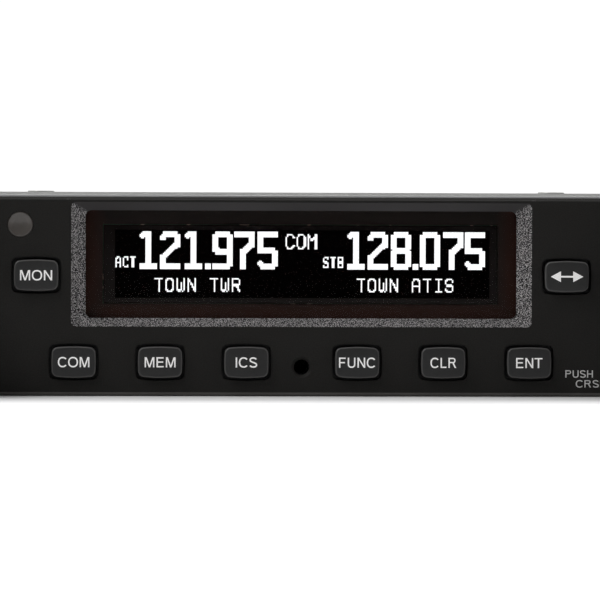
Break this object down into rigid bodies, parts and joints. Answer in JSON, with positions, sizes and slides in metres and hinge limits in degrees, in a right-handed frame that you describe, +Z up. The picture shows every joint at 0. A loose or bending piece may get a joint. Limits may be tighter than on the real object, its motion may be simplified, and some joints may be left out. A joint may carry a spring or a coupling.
{
  "type": "panel-mounted aircraft radio",
  "caption": "Panel-mounted aircraft communication radio with recessed display, sprung keys, turning knobs, lock screw, vented case and rear connectors.",
  "frame": {"origin": "middle of the overall box at the chassis floor, which the radio rests on", "axes": "X to the viewer's right across the face, Y from the face to the rear connectors, Z up"},
  "size_m": [0.16, 0.2916, 0.0333],
  "materials": {
    "bezel_black": "fine moulded texture",
    "key_grey": "smooth satin with white printed legends",
    "knob_black": "satin",
    "lens": "tinted, polished",
    "gasket": "matt foam",
    "mask": "matt reddish brown",
    "display": "polished dark glass panel",
    "diffuser": "matt",
    "light_pipe": "smoked, dished",
    "board": "solder mask",
    "silicone": "matt",
    "machined": "machined, clear conversion coat",
    "sheet": "brushed sheet, clear conversion coat",
    "black_anodised": "black anodised",
    "steel": "zinc plated",
    "tin": "tinned sheet",
    "brass": "turned",
    "gold": "gold flashed",
    "package": "moulded epoxy",
    "sleeve": "shrunk sleeve",
    "ferrite": "wound with enamelled copper",
    "laminations": "varnished laminations",
    "ribbon": "flat cable",
    "cable": "coaxial lead",
    "nickel": "nickel plated",
    "insulator": "white insulator",
    "plate": "blank foil plate"
  },
  "bodies": {
    "radio": {"front_bezel": "bezel_black", "display_lens": "lens", "lens_gasket": "gasket", "display_frame": "mask", "display_panel": "display", "display_backlight": "diffuser", "light_sensor_window": "light_pipe", "light_sensor": "package", "keypad_mat": "silicone", "key_switches": "tin", "front_board": "board", "volume_control": "steel", "tuning_encoder": "steel", "bushing_nuts": "nickel", "front_plate": "machined", "lock_bracket": "steel", "chassis": "sheet", "top_cover": "sheet", "rear_panel": "sheet", "heat_sink": "black_anodised", "main_board": "board", "board_standoffs": "brass", "inner_screws": "steel", "case_screws": "steel", "shield_cans": "tin", "power_transistors": "package", "capacitors": "sleeve", "toroid_coils": "ferrite", "audio_transformer": "laminations", "reference_oscillator": "tin", "chips": "package", "board_connectors": "package", "front_ribbon": "ribbon", "antenna_lead": "cable", "data_connector_shell": "nickel", "data_connector_insert": "package", "data_connector_pins": "gold", "jack_posts": "nickel", "antenna_jack": "nickel", "antenna_insulator": "insulator", "antenna_contact": "gold", "data_plate": "plate"},
    "key_mon": {"key_mon": "key_grey"},
    "key_com": {"key_com": "key_grey"},
    "key_mem": {"key_mem": "key_grey"},
    "key_ics": {"key_ics": "key_grey"},
    "key_func": {"key_func": "key_grey"},
    "key_clr": {"key_clr": "key_grey"},
    "key_ent": {"key_ent": "key_grey"},
    "key_swap": {"key_swap": "key_grey"},
    "volume": {"volume_knob": "knob_black", "volume_shaft": "steel"},
    "outer_tuning": {"outer_tuning_knob": "knob_black", "outer_shaft": "steel"},
    "tuning_push": {"push_plunger": "insulator"},
    "inner_tuning": {"inner_tuning_knob": "knob_black", "inner_shaft": "steel"},
    "lock_screw_body": {"lock_screw": "steel"},
    "lock_pawl_body": {"lock_pawl": "steel"}
  },
  "joints": [
    {"name": "mon_press", "type": "slide", "parent": "radio", "child": "key_mon", "axis": [0, 1, 0], "range_m": [0, 0.0009], "stiffness_N_per_m": 700},
    {"name": "com_press", "type": "slide", "parent": "radio", "child": "key_com", "axis": [0, 1, 0], "range_m": [0, 0.0009], "stiffness_N_per_m": 700},
    {"name": "mem_press", "type": "slide", "parent": "radio", "child": "key_mem", "axis": [0, 1, 0], "range_m": [0, 0.0009], "stiffness_N_per_m": 700},
    {"name": "ics_press", "type": "slide", "parent": "radio", "child": "key_ics", "axis": [0, 1, 0], "range_m": [0, 0.0009], "stiffness_N_per_m": 700},
    {"name": "func_press", "type": "slide", "parent": "radio", "child": "key_func", "axis": [0, 1, 0], "range_m": [0, 0.0009], "stiffness_N_per_m": 700},
    {"name": "clr_press", "type": "slide", "parent": "radio", "child": "key_clr", "axis": [0, 1, 0], "range_m": [0, 0.0009], "stiffness_N_per_m": 700},
    {"name": "ent_press", "type": "slide", "parent": "radio", "child": "key_ent", "axis": [0, 1, 0], "range_m": [0, 0.0009], "stiffness_N_per_m": 700},
    {"name": "swap_press", "type": "slide", "parent": "radio", "child": "key_swap", "axis": [0, 1, 0], "range_m": [0, 0.0009], "stiffness_N_per_m": 700},
    {"name": "volume_turn", "type": "hinge", "parent": "radio", "child": "volume", "pos_m": [-0.0634, -0.1262, 0.017], "axis": [0, 1, 0], "range_deg": [-150, 150]},
    {"name": "outer_tuning_turn", "type": "hinge", "parent": "radio", "child": "outer_tuning", "pos_m": [0.0634, -0.1262, 0.017], "axis": [0, 1, 0], "continuous": true},
    {"name": "tuning_push_in", "type": "slide", "parent": "radio", "child": "tuning_push", "axis": [0, 1, 0], "range_m": [0, 0.0006], "stiffness_N_per_m": 1200},
    {"name": "inner_tuning_turn", "type": "hinge", "parent": "tuning_push", "child": "inner_tuning", "pos_m": [0.0634, -0.1262, 0.017], "axis": [0, 1, 0], "continuous": true},
    {"name": "lock_screw_turn", "type": "hinge", "parent": "radio", "child": "lock_screw_body", "pos_m": [0, -0.1262, 0.0047], "axis": [0, 1, 0], "range_deg": [0, 2880]},
    {"name": "lock_pawl_slide", "type": "slide", "parent": "radio", "child": "lock_pawl_body", "axis": [0, -1, 0], "range_m": [0, 0.00635]}
  ],
  "couplings": [
    {"joint": "lock_screw_turn", "follows": "lock_pawl_slide", "rad_per_m": 7915.8}
  ]
}
